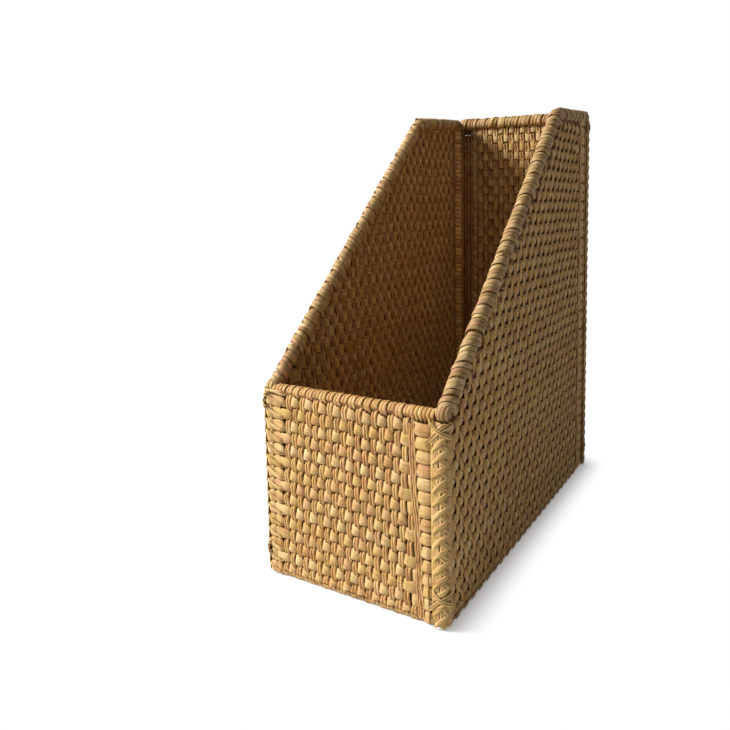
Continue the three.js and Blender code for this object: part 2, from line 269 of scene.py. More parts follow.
def eased(knots, step):
    """Places from knots (a, b): a runs on evenly, and b eases from knot to knot as a cosine."""
    knots = np.array(knots, float)
    a_parts, b_parts = [], []
    for (a0, b0), (a1, b1) in zip(knots[:-1], knots[1:]):
        count = max(2, int(round(abs(a1 - a0) / step)))
        t = np.arange(count) / count
        a_parts.append(a0 + (a1 - a0) * t)
        b_parts.append(b0 + (b1 - b0) * (1 - np.cos(math.pi * t)) / 2)
    return np.concatenate([*a_parts, knots[-1:, 0]]), np.concatenate([*b_parts, knots[-1:, 1]])


def end_dip(part, depth, start):
    """Nothing along the middle of a strand, and down to depth from the share start to its ends."""
    return depth * np.clip(np.abs(part - 0.5) * 2 - start, 0, 1) / (1 - start)


# Strands and their meshes

class Bundle:
    """Strands that make one piece. A strand is a section swept along a line. The mesh keeps, for its
    material, how far along and across its strand a point is, the strand's shade, and how much painted
    shade, with some dust, darkens it where it lies deep, at its edges and on its inner face."""

    def __init__(self, section, edge_shade=0.5):
        self.section = np.array(section, float)
        # Painted shade along the strand's two edges
        self.edge_shade = edge_shade * (1 - np.abs(self.section[:, 1])) ** 1.5
        self.outer = np.clip(self.section[:, 1] * 1.5 + 0.5, 0, 1)
        self.strands = []
        edge = np.roll(self.section, -1, axis=0) - self.section
        lengths = np.linalg.norm(edge, axis=1)
        self.around = np.concatenate([[0], np.cumsum(lengths)]) / lengths.sum()

    def add(self, line, outward, width, thickness, shade, depth=0.0, along_from=0.0, closed=(True, True)):
        """A strand along a line, whose broad side faces outward. Its closed ends are drawn in."""
        count = len(line)
        outward = np.broadcast_to(outward, line.shape)
        along = unit(np.gradient(line, axis=0))
        across = unit(np.cross(along, outward))
        out = np.cross(across, along)
        half_w = np.broadcast_to(width / 2, (count,)).copy()
        half_t = np.broadcast_to(thickness / 2, (count,)).copy()
        for k, scale in enumerate(end_scale_shares):
            for at, drawn_in in zip((k, -1 - k), closed):
                if drawn_in:
                    half_w[at] *= scale
                    half_t[at] *= scale
        sx, sy = self.section.T
        points = (line[:, None] + across[:, None] * (half_w[:, None] * sx)[..., None]
                  + out[:, None] * (half_t[:, None] * sy)[..., None])
        gone = lengths_along(line)
        grain = np.empty((count, len(sx), 3))
        grain[..., 0] = (gone + along_from)[:, None]
        grain[..., 1] = half_w[:, None] * sx
        grain[..., 2] = shade
        # Painted shade, with some dust: the outer face darkens as deep as the strand lies, the inner face
        # always somewhat, and the two edges by their own share
        deep = np.broadcast_to(depth, (count,))[:, None]
        inner = np.maximum(1 - deep, inner_face_shade)
        deep = np.maximum(deep * self.outer + inner * (1 - self.outer), self.edge_shade)
        self.strands.append((points, grain, deep, gone))

    def strand_uv(self, k, gone, longest, columns, rows):
        """A strand's own field of the bake map: its tube unrolled, with a small disc at each end."""
        u = (k // rows + 0.03 + 0.94 * gone / longest) / columns
        v = (k % rows + 0.08 + 0.84 * self.around) / rows
        u0, u1 = u[:-1, None], u[1:, None]
        v0, v1 = v[None, :-1], v[None, 1:]
        tube = np.stack(np.broadcast_arrays(u0, v0, u1, v0, u1, v1, u0, v1), axis=-1)
        angle = 2 * math.pi * np.arange(len(self.section)) / len(self.section)
        discs = []
        for end_u, sign, turned in ((u[0], -1, angle), (u[-1], 1, angle[::-1])):
            disc_u = end_u + sign * 0.012 * (1 + np.cos(turned)) / columns
            disc_v = (v[0] + v[-1]) / 2 + 0.3 * np.sin(turned) / rows
            discs.append(np.stack([disc_u, disc_v], axis=-1))
        return [tube.reshape(-1, 2), *discs]

    def mesh(self, name):
        """One mesh of all the strands: a tube of quads for each, with a face over each end."""
        count = len(self.section)
        at = np.arange(count)
        after = (at + 1) % count
        longest = max(gone[-1] for _, _, _, gone in self.strands)
        perimeter = 2.2 * max(float(np.ptp(grain[..., 1])) for _, grain, _, _ in self.strands)
        columns = max(1, round(math.sqrt(len(self.strands) * perimeter / longest)))
        rows = math.ceil(len(self.strands) / columns)
        loops, starts, uvs = [], [], []
        first, loop_first = 0, 0
        for k, (points, _, _, gone) in enumerate(self.strands):
            ring = np.arange(len(points) - 1)[:, None] * count
            quads = np.stack([ring + at, ring + count + at, ring + count + after, ring + after], axis=-1)
            quads = quads.reshape(-1, 4) + first
            caps = np.stack([at, at[::-1] + (len(points) - 1) * count]) + first
            loops += [quads.reshape(-1), caps.reshape(-1)]
            starts += [loop_first + 4 * np.arange(len(quads)),
                       loop_first + quads.size + count * np.arange(2)]
            loop_first += quads.size + caps.size
            first += len(points) * count
            uvs += self.strand_uv(k, gone, longest, columns, rows)
        points, grains, deeps = (np.concatenate([strand[i].reshape(-1, size) for strand in self.strands])
                                 for i, size in ((0, 3), (1, 3), (2, 1)))
        points[:, 2] = np.maximum(points[:, 2], floor_clearance)
        loops, starts = np.concatenate(loops), np.concatenate(starts)
        me = bpy.data.meshes.new(name)
        me.vertices.add(len(points))
        me.vertices.foreach_set("co", (points * MM).reshape(-1))
        me.loops.add(len(loops))
        me.loops.foreach_set("vertex_index", loops.astype(np.int32))
        me.polygons.add(len(starts))
        me.polygons.foreach_set("loop_start", starts.astype(np.int32))
        me.polygons.foreach_set("use_smooth", np.ones(len(starts), bool))
        me.update(calc_edges=True)
        layer = me.uv_layers.new(name="OFBake")
        layer.data.foreach_set("uv", np.concatenate(uvs).reshape(-1).astype(np.float32))
        held = me.attributes.new("grain", "FLOAT_VECTOR", "POINT")
        held.data.foreach_set("vector", grains.reshape(-1).astype(np.float32))
        # How much painted shade, with some dust, darkens each point
        held = me.attributes.new("dust_and_shade_amount", "FLOAT", "POINT")
        held.data.foreach_set("value", deeps.reshape(-1).astype(np.float32))
        return me

    def piece(self, name, material, slot, *nodes):
        me = self.mesh(name)
        me.materials.append(material)
        ob = add_object(name, me)
        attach(ob, "root")
        if nodes:
            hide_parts(*nodes)


def lengths_along(line):
    """How far along a line each of its points is."""
    steps = np.linalg.norm(np.diff(line, axis=0), axis=1)
    return np.concatenate([[0], np.cumsum(steps)])


# Materials

pale_blotch = (250, 220, 164)
pinkish = (214, 158, 126)
greenish = (200, 184, 108)
dark_fibre = (150, 105, 62)
dark_hair = (120, 80, 45)
# The colour of painted shade, with some dust, that darkens a strand where it dives, at its edges and on its
# inner face
dust_and_shade = (92, 70, 44)
bump_height = 0.3
strand_gloss = 0.12


def new_material(name):
    material = bpy.data.materials.new(name)
    material.use_nodes = True
    tree = material.node_tree
    return material, tree, tree.nodes["Principled BSDF"]


def add_node(tree, kind, inputs, **settings):
    """A new shader node. Each input, by name or number, is linked to a socket or set to a value."""
    node = tree.nodes.new("ShaderNode" + kind)
    for name, value in settings.items():
        setattr(node, name, value)
    for key, value in inputs.items():
        if isinstance(value, bpy.types.NodeSocket):
            tree.links.new(value, node.inputs[key])
        else:
            node.inputs[key].default_value = value
    return node


def maths(tree, operation, a, b):
    return add_node(tree, "Math", {0: a, 1: b}, operation=operation).outputs[0]


def mapped(tree, value, low, high, to_low, to_high):
    """A value eased from between low and high to between to_low and to_high."""
    inputs = {"Value": value, "From Min": low, "From Max": high, "To Min": to_low, "To Max": to_high}
    return add_node(tree, "MapRange", inputs, interpolation_type="SMOOTHSTEP").outputs[0]


def noise_of(tree, vector, scales, detail):
    """A noise with a scale of its own for each of a vector's three numbers."""
    scaled = add_node(tree, "VectorMath", {0: vector, 1: scales}, operation="MULTIPLY").outputs[0]
    return add_node(tree, "TexNoise", {"Vector": scaled, "Scale": 1, "Detail": detail}).outputs["Fac"]


def linear(colour):
    return [((c / 255 + 0.055) / 1.055) ** 2.4 if c > 10 else c / 3294.6 for c in colour]


def ramp_of(tree, value, stops):
    node = add_node(tree, "ValToRGB", {0: value})
    ramp = node.color_ramp
    while len(ramp.elements) < len(stops):
        ramp.elements.new(0.5)
    for element, (place, colour) in zip(ramp.elements, stops):
        element.position = place
        element.color = (*linear(colour), 1)
    return node.outputs[0]


def mixed(tree, kind, factor, colour, tone):
    inputs = {0: factor, 6: colour, 7: (*linear(tone), 1)}
    return add_node(tree, "Mix", inputs, data_type="RGBA", blend_type=kind).outputs[2]


def add_bump(tree, shader, height, strength):
    inputs = {"Strength": strength, "Distance": bump_height * MM, "Height": height}
    tree.links.new(add_node(tree, "Bump", inputs).outputs[0], shader.inputs["Normal"])


def strand_material(name, shades, stain, fibre_width, roughness):
    """Rattan: a shade for each strand, fibres along it, stains, and darkening where it dives, at its edges
    and on its inner face, which is painted shade with some dust.
    """
    material, tree, shader = new_material(name)
    grain = add_node(tree, "Attribute", {}, attribute_name="grain").outputs["Vector"]
    dust_and_shade_amount = add_node(tree, "Attribute", {}, attribute_name="dust_and_shade_amount").outputs["Fac"]
    shade = add_node(tree, "SeparateXYZ", {0: grain}).outputs[2]
    fibres = noise_of(tree, grain, (0.05, 1 / fibre_width, 91), 3)
    hairs = noise_of(tree, grain, (0.02, 3 / fibre_width, 53), 2)
    blotches = noise_of(tree, grain, (0.11, 0.12, 37), 2)
    tints = noise_of(tree, grain, (0.1, 0.06, 67), 1)
    stops = [((k + 0.5) / len(shades), colour) for k, colour in enumerate(shades)]
    colour = ramp_of(tree, shade, stops)
    for kind, factor, tone in (
        ("MIX", mapped(tree, blotches, 0.5, 0.7, 0, 0.6), stain),
        ("MIX", mapped(tree, blotches, 0.46, 0.3, 0, 0.5), pale_blotch),
        ("MIX", mapped(tree, tints, 0.55, 0.68, 0, 0.45), pinkish),
        ("MIX", mapped(tree, tints, 0.45, 0.32, 0, 0.3), greenish),
        ("MULTIPLY", mapped(tree, fibres, 0.33, 0.5, 0.3, 0), dark_fibre),
        ("MULTIPLY", mapped(tree, hairs, 0.3, 0.48, 0.22, 0), dark_hair),
        # Painted shade, with some dust: darker where the mesh says the strand lies deep, at its edges and
        # on its inner face
        ("MULTIPLY", mapped(tree, dust_and_shade_amount, 0.1, 1, 0, 0.95), dust_and_shade),
    ):
        colour = mixed(tree, kind, factor, colour, tone)
    dullness = mapped(tree, fibres, 0.3, 0.7, roughness + 0.12, roughness - 0.06)
    tree.links.new(colour, shader.inputs["Base Color"])
    tree.links.new(dullness, shader.inputs["Roughness"])
    shader.inputs["Specular IOR Level"].default_value = strand_gloss
    add_bump(tree, shader, maths(tree, "ADD", fibres, maths(tree, "MULTIPLY", hairs, 0.5)), 0.45)
    return material


def pole_material():
    """A peeled pole: tan with a fine grain, made darker brown as painted shade for where it shows in the
    gaps between the strands round it.
    """
    material, tree, shader = new_material("peeled_pole")
    place = add_node(tree, "TexCoord", {}).outputs["Object"]
    grain = add_node(tree, "TexNoise", {"Vector": place, "Scale": 420, "Detail": 4}).outputs["Fac"]
    # Browns darker than a peeled pole has: painted shade in the gaps where the pole shows
    stops = [(0.3, (128, 84, 44)), (0.55, (176, 126, 70)), (0.75, (200, 152, 92))]
    tree.links.new(ramp_of(tree, grain, stops), shader.inputs["Base Color"])
    shader.inputs["Roughness"].default_value = 0.55
    add_bump(tree, shader, grain, 0.3)
    return material


weft_shades_rgb = [
    (226, 182, 120), (236, 196, 134), (226, 184, 112), (240, 206, 146), (222, 172, 114), (228, 192, 124)]
warp_shades_rgb = [
    (222, 174, 112), (228, 184, 118), (206, 158, 100), (232, 190, 124), (216, 172, 98), (200, 148, 94)]
rim_shades_rgb = [
    (192, 157, 108), (176, 136, 92), (204, 174, 122), (164, 126, 86), (196, 166, 106), (180, 146, 92)]
lacing_shades_rgb = [
    (218, 176, 112), (232, 194, 130), (200, 156, 96), (224, 186, 112), (210, 164, 104), (188, 142, 86)]
stitch_shades_rgb = [
    (150, 100, 66), (174, 122, 80), (128, 82, 54), (188, 142, 98), (140, 92, 60), (160, 108, 74)]

finishes = {
    "weft": strand_material("weft_peel", weft_shades_rgb, (196, 140, 84), 0.9, 0.5),
    "warp": strand_material("warp_strand", warp_shades_rgb, (160, 108, 66), 0.45, 0.52),
    "rim": strand_material("rim_peel", rim_shades_rgb, (158, 108, 74), 0.7, 0.45),
    "lacing": strand_material("lacing_strand", lacing_shades_rgb, (150, 100, 60), 0.45, 0.5),
    "stitch": strand_material("stitch_strand", stitch_shades_rgb, (110, 70, 46), 0.4, 0.55),
    "pole": pole_material(),
}

# Places taken from the frame; the bend of the side rims is the only one that it doesn't give

bend_y = 54
bend_z = 289.6
post_low, post_high = box_mm("front_frame_pole")
post_radius = (post_high[1] - post_low[1]) / 2
side_x = post_high[0] - post_radius
front_y = (post_low[1] + post_high[1]) / 2
base_z = post_low[2] + post_radius
back_low, back_high = box_mm("back_frame_pole")
back_y = (back_low[1] + back_high[1]) / 2
rim_low, rim_high = box_mm("front_rim_pole")
front_rim_radius = (rim_high[2] - rim_low[2]) / 2
front_rim_z = (rim_low[2] + rim_high[2]) / 2
side_rim_low, side_rim_high = box_mm("right_rim_pole")
side_rim_radius = (side_rim_high[0] - side_rim_low[0]) / 2
top_z = side_rim_high[2] - side_rim_radius
slope_low, slope_high = box_mm("right_slope_winding")
roll_radius = (slope_high[0] - slope_low[0]) / 2
wall_outer = box_mm("right_side_wall")[1][0] - side_x
wall_middle = wall_outer - weft_rise - weft_thickness / 2 + 0.1
weft_crest = wall_middle + weft_rise
weft_trough = wall_middle - weft_rise
warp_crest = wall_middle + warp_rise
row_on_post = post_radius + skin_gap + corner_weft_thickness / 2
base_fold_radius = post_radius + fold_gap + fold_thickness / 2
rim_fold_radius = front_rim_radius + fold_gap + fold_thickness / 2
slope_rise = (bend_z - front_rim_z) / (bend_y - front_y)
top_rise = (top_z - bend_z) / (back_y - bend_y)


def slope_z(y):
    """The height of a side rim's axis above a place y."""
    on_slope = front_rim_z + (y - front_y) * slope_rise
    return np.clip(np.minimum(on_slope, bend_z + (y - bend_y) * top_rise), front_rim_z, top_z)


class Wall:
    """A wall's plane between two corner posts."""

    def __init__(self, name, start, end, out, weave):
        self.name = name
        self.weave = weave
        self.start = np.array([*start, 0.0])
        self.out = np.array([*out, 0.0])
        run = np.array([*end, 0.0]) - self.start
        self.length = float(np.linalg.norm(run))
        self.right = run / self.length

    def point(self, u, z, n):
        u, z, n = np.broadcast_arrays(*(np.asarray(v, float) for v in (u, z, n)))
        return self.start + u[:, None] * self.right + n[:, None] * self.out + z[:, None] * UP

    def rim_z(self, u):
        if self.name == "front":
            return front_rim_z
        if self.name == "back":
            return top_z
        return slope_z(self.start[1] + u * self.right[1])

    def facing(self, n, rise):
        """Directions that lean up from the wall's own by as much as they rise."""
        return n[:, None] * self.out + rise[:, None] * UP


walls = {
    "front": Wall("front", (-side_x, front_y), (side_x, front_y), (0, -1), FrontWeave),
    "right_side": Wall("right_side", (side_x, front_y), (side_x, back_y), (1, 0), RightWeave),
    "back": Wall("back", (side_x, back_y), (-side_x, back_y), (0, 1), Weave),
    "left_side": Wall("left_side", (-side_x, back_y), (-side_x, front_y), (-1, 0), LeftWeave),
}


class Corner:
    """The outside of a corner post: t runs to the right round it from one wall to the next."""

    def __init__(self, before, after):
        self.before = before
        self.after = after
        self.quarter = math.pi / 4 * post_radius
        self.middle = unit(before.out + after.out)
        self.side = unit(after.out - before.out)

    def outward(self, t):
        angle = np.clip(t / post_radius, -math.pi / 4, math.pi / 4)
        return np.cos(angle)[:, None] * self.middle + np.sin(angle)[:, None] * self.side

    def point(self, t, z, r):
        t, z, r = np.broadcast_arrays(*(np.asarray(v, float) for v in (t, z, r)))
        over = np.maximum(t - self.quarter, 0)
        under = np.minimum(t + self.quarter, 0)
        run = over[:, None] * self.after.right + under[:, None] * self.before.right
        return self.after.start + run + r[:, None] * self.outward(t) + z[:, None] * UP


corners = {
    "front_left": Corner(walls["left_side"], walls["front"]),
    "front_right": Corner(walls["front"], walls["right_side"]),
    "back_right": Corner(walls["right_side"], walls["back"]),
    "back_left": Corner(walls["back"], walls["left_side"]),
}
corner_before = {corner.after.name: corner for corner in corners.values()}

row_count = int((top_z - rim_clearance - first_weft_z) / weft_pitch) + 1
row_z = [first_weft_z + weft_pitch * j for j in range(row_count)]


# Where rows and warps run

def row_lift(wall, u, z):
    """How far the rows fall from level along a wall: the front's run down to its right."""
    fall = np.clip(z / full_fall_z, least_fall, 1)
    if wall.name == "front":
        return -front_row_fall * u * fall
    if wall.name == "right_side":
        return -side_row_fall * np.clip(1 - u / side_fall_reach, 0, 1) * fall
    return 0.0 * u


def row_height(wall, u, z, phases):
    return z + row_lift(wall, u, z) + weft_wander * shared_wander(u, z, phases)


def bundle_place(wall, z):
    return wall.length - end_zone + wall.weave.bundle_lean * (z - bundle_level)


def warp_place(wall, i, z):
    weave = wall.weave
    return weave.first_warp + weave.warp_pitch * i + weave.warp_lean * (z - warp_level)


def warps_at(wall, z):
    """The places of the warps that a row at height z passes, in order."""
    room = bundle_place(wall, z) - bundle_margin - warp_place(wall, 0, z)
    return [float(warp_place(wall, i, z)) for i in range(math.ceil(room / wall.weave.warp_pitch))]


def weft_over(wall, i, j):
    return (i + j + wall.weave.shift) % 2 == 1


def slope_start(z):
    """How far along the right wall a row at height z meets the sloping rim."""
    return max((z - front_rim_z) / slope_rise - slope_overlap, least_start)


def start_knots(wall, first):
    """Round the corner post and, on the front and back, over a long first cell."""
    on_post = (0.0, row_on_post)
    if wall.name in ("right_side", "left_side"):
        return [on_post]
    rise, fall, dip = first_cell
    return [on_post, (rise, weft_crest + dip), (first - fall, weft_crest + dip)]


def end_knots(wall, z, last, last_over):
    """Under the bundle, over in a big cell, and down under the corner's lacing."""
    bundle = bundle_place(wall, z)
    rise = np.interp(bundle - last, bundle_room, rise_in_room)
    between = [] if last_over else [((last + bundle) / 2 + 0.3, wall_middle + rise)]
    return [*between, *placed(bundle_marks, bundle, wall_middle),
            *placed(dive_marks, wall.length - big_cell_end, wall_middle), (wall.length - row_tail, tuck_n)]


def weft_knots(wall, j):
    """How far out a weft runs at each warp, and whether it starts and ends at a corner post."""
    z = row_z[j]
    places = warps_at(wall, z)
    full = z < front_rim_z - 2 or wall.name == "back"
    at_start = full or wall.name == "left_side"
    at_end = full or wall.name == "right_side"
    knots = []
    for i, u in enumerate(places):
        if weft_over(wall, i, j):
            knots += placed(wall.weave.crest, u, weft_crest)
        else:
            knots += placed(wall.weave.trough, u, weft_trough)
    if at_start:
        knots = start_knots(wall, places[0]) + knots
    else:
        low = slope_start(z)
        kept = [knot for knot in knots if knot[0] > low + rim_clearance]
        knots = [(low, tuck_n), (low + rim_tuck, wall_middle), *kept]
    if at_end:
        knots += end_knots(wall, z, places[-1], weft_over(wall, len(places) - 1, j))
    else:
        high = wall.length - slope_start(z)
        kept = [knot for knot in knots if knot[0] < high - rim_clearance]
        knots = [*kept, (high - rim_tuck, wall_middle), (high, tuck_n)]
    return knots, at_start, at_end


def notch_at(wall, j, u, over):
    """How much a row narrows beside the warps that it passes over, or under."""
    places = [place for i, place in enumerate(warps_at(wall, row_z[j])) if weft_over(wall, i, j) == over]
    bells = (np.exp(-((u - place + notch_lead) / notch_half_width) ** 2) for place in places)
    return wall.weave.notch_share * (over_notch_depth if over else under_notch_depth) * sum(bells)


def weft_width_at(wall, u, n, z, at_start, at_end):
    """Widest where neighbouring rows cross, and narrower round a post and where a big cell dives."""
    widths = wall.weave.weft_widths
    width = np.interp((n - wall_middle) / weft_rise, width_marks, widths)
    if at_start:
        width = np.minimum(width, np.interp(u, [0, start_zone], [corner_weft_width, widths[1]]))
    if at_end:
        bundle = bundle_place(wall, z)
        dive = wall.length - big_cell_end
        marks = [bundle, bundle + big_cell_ease, dive - big_cell_ease, dive]
        taper = np.interp(u, marks, [weft_width, big_cell_width, big_cell_width, dive_width])
        width = np.where(u < bundle, width, taper)
    return width


def warp_knots(wall, i, lag):
    """How far out a warp runs at each weft, from the lowest row up to the rim or to its end."""
    knots = []
    for j in range(front_rows if wall.name == "front" else len(row_z)):
        u = warp_place(wall, i, row_z[j])
        z = row_z[j] + row_lift(wall, u, row_z[j])
        if z > wall.rim_z(u) - rim_clearance or u > bundle_place(wall, row_z[j]) - bundle_margin:
            break
        if weft_over(wall, i, j):
            marks = under_marks
        else:
            marks = placed(wall.weave.over_marks, -lag, 0)
        knots += [(z + dz, wall_middle + warp_rise * share) for dz, share in marks]
    return knots


def slant_of(wall, i, z):
    """A warp leans where it passes over a weft, and swings back where it passes under."""
    turn = (i + wall.weave.shift) % 2
    return -wall.weave.warp_slant * np.sin(math.pi * (z - first_weft_z + 0.8) / weft_pitch + math.pi * turn)


def base_arc(radius):
    """The fold round a base pole, from its inner top, under it, to its outer side: z and n."""
    angle = np.radians(np.linspace(*base_fold_turn, 22))
    return base_z + radius * np.sin(angle), radius * np.cos(angle)


def rim_arc(radius):
    """The fold over the front rim pole, from its outer side to the inside of the wall: z and n."""
    angle = np.radians(np.linspace(*rim_fold_turn, 13))
    z = np.append(front_rim_z + radius * np.sin(angle), front_rim_z - rim_fold_drop)
    return z, np.append(radius * np.cos(angle), rim_fold_in - radius)


def warp_course(wall, i, sign, fold_lift):
    """One of a warp's strands, from its fold round the base pole to the rim: its heights z, how far
    out it is, where its low fold ends and where its high one starts."""
    z, n = eased(warp_knots(wall, i, warp_lag if sign < 0 else 0), warp_step)
    low_z, low_n = base_arc(base_fold_radius)
    top = float(wall.rim_z(warp_place(wall, i, z[-1])))
    if z[-1] < top - 20:
        high_z, high_n = z[-1] + 1.5, n[-1]
    elif wall.name == "front":
        high_z, high_n = rim_arc(rim_fold_radius + fold_lift + 0.1 * sign)
    else:
        high_z, high_n = top - 0.5, wall_middle
    return (np.hstack([low_z, z, high_z]), np.hstack([low_n, n, high_n]),
            len(low_z) + 1, len(low_z) + len(z) - 1)


# Woven walls

def weave_wefts(wall):
    """The rows of a wall; each starts round the post before it, or under a sloping rim."""
    bundle = Bundle(peel_section, weft_edge_shade)
    weave = wall.weave
    corner = corner_before[wall.name]
    phases = wander_phases()
    for j, z in enumerate(row_z[:front_rows] if wall.name == "front" else row_z):
        knots, at_start, at_end = weft_knots(wall, j)
        if len(knots) < 4:
            continue
        u, n = eased(knots, weft_step)
        low_notch = notch_at(wall, j, u, False)
        high_notch = notch_at(wall, j, u, True)
        over = np.clip((n - wall_middle) / weft_rise, 0, 1)
        first_over = weave.first_warp + weave.warp_pitch * (not weft_over(wall, 0, j))
        tilt = weave.cell_tilt * np.sin(math.pi * (u - first_over) / weave.warp_pitch)
        height = row_height(wall, u, z, phases) + cell_lift * over + notch_shift * (high_notch - low_notch)
        line = wall.point(u, height - tilt, n)
        outward = np.tile(wall.out, (len(u), 1))
        # Painted shade, with some dust, where the row dives under a warp
        depth = np.clip((weft_crest - n) / (2 * weft_rise), 0, 1)
        width = weft_width_at(wall, u, n, z, at_start, at_end) - low_notch - high_notch
        thickness = np.full(len(u), weft_thickness)
        if at_start:
            t = np.linspace(-corner.quarter - post_lead, corner.quarter, 12)[:-1]
            r = np.interp(t, [t[0], t[0] + 3], [post_radius - 0.8, row_on_post])
            on_post = np.ones(len(t))
            thinner = np.interp(u, [0, 4.0], [corner_weft_thickness, weft_thickness])
            line = np.concatenate([corner.point(t, line[0, 2], r), line])
            outward = np.concatenate([corner.outward(t), outward])
            # Painted shade on the row where it runs round the post
            depth = np.concatenate([corner_weft_shade * on_post, depth])
            width = np.concatenate([corner_weft_width * on_post, width])
            thickness = np.concatenate([corner_weft_thickness * on_post, thinner])
        width = width * (1 + wave(np.arange(len(line)), size=0.02, length=40))
        bundle.add(line, outward, width, thickness, rng.uniform(*weft_shades), depth)
        if weave.packing_width:
            pack_between(wall, bundle, z, phases)
    return bundle


def pack_between(wall, bundle, z, phases):
    """A dark strip behind the gap above a row, darkened fully as painted shade."""
    start = slope_start(z + weft_pitch / 2) + 1 if z > front_rim_z - 6 else 1.0
    u = np.linspace(start, wall.length - 2, 30)
    height = row_height(wall, u, z, phases) + weft_pitch / 2
    line = wall.point(u, height, wall_middle + packing_n)
    bundle.add(line, wall.out, wall.weave.packing_width, packing_thickness, shade=0.5, depth=1.0)


def weave_warps(wall, base_folds, rim_folds):
    """The warps of a wall, with their folds round the base pole and over the front rim."""
    bundle = Bundle(strand_section, warp_edge_shade)
    phases = wander_phases()
    for i in range(len(warps_at(wall, row_z[0]))):
        fold_lift = rng.uniform(-0.1, 0.2)
        fold_lean = rng.uniform(-0.5, 0.5)
        for sign in (-1, 1):
            zs, ns, low_end, high_start = warp_course(wall, i, sign, fold_lift)
            spread = np.interp(zs, [base_z, row_z[0] + 1], [1, 0])
            spread[:low_end] = 1
            folded = np.zeros(len(zs))
            facing = np.tile(wall.out, (len(zs), 1))
            facing[:low_end] = wall.facing(ns[:low_end], zs[:low_end] - base_z)
            reaches_rim = wall.name == "front" and len(zs) - high_start > 3
            if reaches_rim:
                spread = np.maximum(spread, np.interp(zs, [row_z[front_rows - 1], front_rim_z], [0, 1]))
                spread[high_start:] = 1
                folded[high_start:] = np.linspace(-1, 1, len(zs) - high_start)
                high = slice(high_start + 1, None)
                facing[high] = wall.facing(ns[high], np.maximum(zs[high] - front_rim_z, 0))
            width = wall.weave.strand_width + (warp_spread_width - wall.weave.strand_width) * spread
            thickness = warp_thickness + (fold_thickness - warp_thickness) * spread
            # Painted shade, with some dust, where the strand dives under a row; none on its folds
            depth = np.clip((warp_crest - ns) / warp_rise - 0.45, 0, 1) * (1 - spread)
            drift = wave(zs, size=0.12, length=23) + warp_wander * shared_wander(i * warp_pitch, zs, phases)
            lean = slant_of(wall, i, zs) * (1 - spread) + fold_lean * folded
            across = warp_place(wall, i, zs) + drift + lean + sign * (width / 2 - warp_overlap)
            line = wall.point(across, zs, ns + wave(zs, size=0.1, length=31))
            shade = rng.random()
            parts = [(base_folds, 0, low_end + 1), (bundle, low_end, len(zs))]
            if reaches_rim:
                parts[-1:] = [(bundle, low_end, high_start + 1), (rim_folds, high_start, len(zs))]
            gone = lengths_along(line)
            for target, a, b in parts:
                target.add(line[a:b], unit(facing[a:b]), width[a:b], thickness[a:b], shade, depth[a:b],
                           along_from=gone[a], closed=(a == 0, b == len(zs)))
    return bundle


def add_bundle(wall, bundle):
    """Three strands side by side that lie over every row beside the last cells of a wall."""
    high = top_z - 4 if wall.name in ("back", "right_side") else front_rim_z - 3
    z = np.arange(row_z[0] - 3, high, 1.6)
    drift = wave(z, size=0.7, length=90)
    n = weft_crest + 0.35 + 0.3 * np.cos(2 * math.pi * (z - first_weft_z) / weft_pitch)
    for k in (-1, 0, 1):
        across = bundle_place(wall, z) + drift + wave(z, size=0.3, length=27) + k * bundle_width
        shade = rng.choice(pale_lacing)
        bundle.add(wall.point(across, z, n), wall.out, bundle_width, bundle_thickness, shade)


def fold_places(wall, z):
    """Where strands fold over a pole at height z beside the warps' own folds."""
    places = warps_at(wall, z)
    before = np.arange(places[0] - warp_pitch, 4, -warp_pitch)
    after = np.arange(places[-1] + warp_pitch, wall.length - 5, warp_pitch)
    return [*before, *after]


def add_plain_folds(wall, base_folds, rim_folds):
    """Folds over the front rim and round the base pole beside the weave's own."""
    top_row = row_z[front_rows - 1]
    low_z, low_n = base_arc(base_fold_radius)
    low_z = np.append(low_z, row_z[0] - 0.5)
    low_n = np.append(low_n, wall_middle - warp_rise)
    high_z, high_n = rim_arc(rim_fold_radius)
    high_z = np.append([top_row - 1, top_row + 2], high_z)
    high_n = np.append([wall_middle - warp_rise, wall_middle - 0.4], high_n)
    for sign in (-1, 1):
        for folds, row, z, n, rise in (
            (base_folds, row_z[0], low_z, low_n, low_z - base_z),
            (rim_folds, top_row, high_z, high_n, np.maximum(high_z - front_rim_z, 0)),
        ):
            for u in fold_places(wall, row) if folds else []:
                line = wall.point(u + sign * (warp_spread_width / 2 + 0.03), z, n)
                facing = unit(wall.facing(n, rise))
                folds.add(line, facing, warp_spread_width, fold_thickness, rng.random())


def add_linings(wall, bundle):
    """Flat strips that run up inside the corners, behind the rows' ends."""
    for u in [*lining_starts, *(wall.length - end for end in lining_ends)]:
        z = np.linspace(row_z[0] - 2, float(wall.rim_z(u)) - 0.5, 20)
        line = wall.point(u + wave(z, size=0.3, length=40), z, wall_middle + lining_n)
        # The strips are darkened a little with painted shade
        bundle.add(line, wall.out, width=3.3, thickness=0.8, shade=rng.random(), depth=0.25)


def weave_walls():
    for name, wall in walls.items():
        base_folds = Bundle(strand_section)
        # The rim folds' edges get only a little painted shade
        rim_folds = Bundle(strand_section, 0.1) if name == "front" else None
        weave_wefts(wall).piece(f"{name}_wefts", finishes["weft"], "woven_wall", f"{name}_wall")
        warps = weave_warps(wall, base_folds, rim_folds)
        add_bundle(wall, warps)
        add_plain_folds(wall, base_folds, rim_folds)
        add_linings(wall, warps)
        warps.piece(f"{name}_warps", finishes["warp"], "woven_wall", f"{name}_wall")
        side = name.replace("_side", "")
        base_folds.piece(f"{side}_base_folds", finishes["warp"], "peel", f"{side}_base_binding")
        if rim_folds:
            rim_folds.piece("front_rim_folds", finishes["warp"], "peel", "front_rim_winding")


# Base

base_row_inset = 3.5
base_warp_inset = 2.5
base_weft_step = 1.25


def base_marks(low, high, inset, pitch):
    """Even places between two sides of the base panel."""
    return np.linspace(low + inset, high - inset, int((high - low - 2 * inset) / pitch) + 1)


